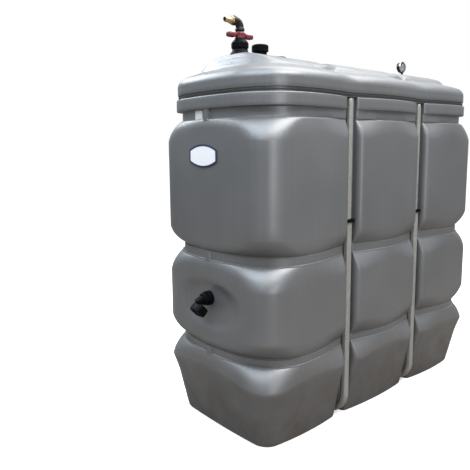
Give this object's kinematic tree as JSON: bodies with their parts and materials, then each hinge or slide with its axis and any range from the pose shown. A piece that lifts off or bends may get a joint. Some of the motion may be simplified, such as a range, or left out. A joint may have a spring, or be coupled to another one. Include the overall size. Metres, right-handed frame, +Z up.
{
  "type": "fuel storage tank",
  "caption": "Double-walled polyethylene fuel tank in three bowed bays, with strap grooves, a domed roof, suction valve, filler cap and level gauge.",
  "frame": {"origin": "on the floor, under the middle of the container", "axes": "+X along the tank away from the end with the outlet, +Z up, -Y the side seen in the picture"},
  "size_m": [1.7078, 0.724, 1.786],
  "materials": {
    "grey_polyethylene": "satin, faint vertical streaks",
    "black_plastic": "moulded",
    "red_plastic": "semi-gloss",
    "dark_iron": "blackened",
    "brass": "machined",
    "galvanised_steel": "galvanised, dull",
    "gauge_chrome": "polished",
    "dial_white": "printed scale",
    "needle_black": "matt",
    "gauge_glass": "clear",
    "badge_white": "bare",
    "badge_navy": "bare",
    "film_white": "bare film"
  },
  "bodies": {
    "tank": {"outer_container": "grey_polyethylene", "inner_flange": "grey_polyethylene", "lid": "grey_polyethylene", "valve_flange": "black_plastic", "valve_union": "black_plastic", "valve_spindle": "black_plastic", "suction_elbow": "dark_iron", "brass_nipple": "brass", "filler_neck": "black_plastic", "inspection_plug": "black_plastic", "gauge_stem": "black_plastic", "gauge_case": "gauge_chrome", "gauge_dial": "dial_white", "gauge_needle": "needle_black", "gauge_glass": "gauge_glass", "outlet_socket": "black_plastic", "outlet_knob": "black_plastic", "outlet_hood": "black_plastic", "badge_plate": "badge_white", "badge_border": "badge_navy", "data_plate": "film_white", "strap_left_lower": "galvanised_steel", "strap_left_front": "galvanised_steel", "clip_left_front": "black_plastic", "strap_left_rear": "galvanised_steel", "clip_left_rear": "black_plastic", "strap_right_lower": "galvanised_steel", "strap_right_front": "galvanised_steel", "clip_right_front": "black_plastic", "strap_right_rear": "galvanised_steel", "clip_right_rear": "black_plastic"},
    "valve_handle": {"valve_handle": "red_plastic"},
    "filler_cap": {"filler_cap": "black_plastic"}
  },
  "joints": [
    {"name": "valve_turn", "type": "hinge", "parent": "tank", "child": "valve_handle", "pos_m": [-0.62, 0, 1.711], "axis": [0, 0, 1], "range_deg": [0, 90]},
    {"name": "cap_turn", "type": "hinge", "parent": "tank", "child": "filler_cap", "pos_m": [-0.503, 0, 1.67], "axis": [0, 0, 1], "range_deg": [0, 90]}
  ]
}
